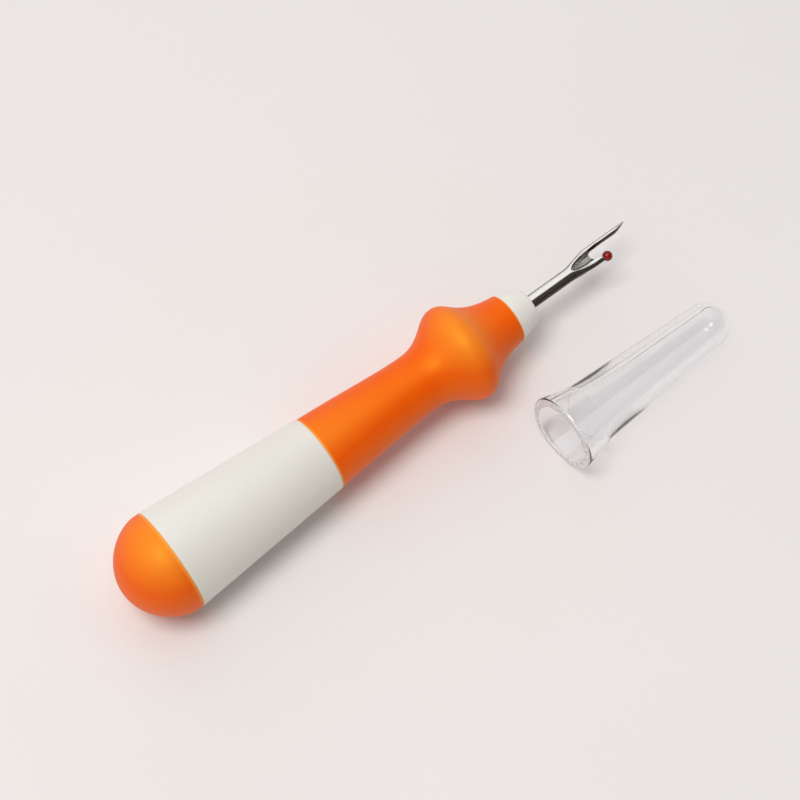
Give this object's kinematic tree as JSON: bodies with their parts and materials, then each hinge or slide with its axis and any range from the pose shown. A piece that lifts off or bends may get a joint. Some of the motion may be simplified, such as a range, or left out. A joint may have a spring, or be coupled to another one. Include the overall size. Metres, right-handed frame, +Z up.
{
  "type": "thread cutter",
  "caption": "Hand thread cutter with a bulged two-colour handle, a steel fork with a ball on its short prong, and a clear flared cap lying beside it.",
  "frame": {"origin": "under the middle of the tool and its cap together, on the surface that both lie on", "axes": "+X along the handle's axis from the round butt towards the blade, +Y towards the fork's long prong and away from the cap, +Z up"},
  "size_m": [0.1348, 0.0454, 0.022],
  "materials": {
    "white_plastic": "satin moulded hard plastic, slightly warm white",
    "soft_orange": "matte soft-touch moulded rubber",
    "steel": "bright polished shank, ground at the fork",
    "red_bead": "glossy moulded bead",
    "clear_plastic": "clear moulded plastic"
  },
  "bodies": {
    "tool": {"handle_core": "white_plastic", "grip_sleeve": "soft_orange", "butt_cap": "soft_orange", "fork_blade": "steel", "safety_ball": "red_bead"},
    "cap": {"clear_cap": "clear_plastic"}
  },
  "joints": [
    {"name": "cap_pull", "type": "slide", "parent": "tool", "child": "cap", "axis": [1, 0, 0], "range_m": [0, 0.043]}
  ]
}
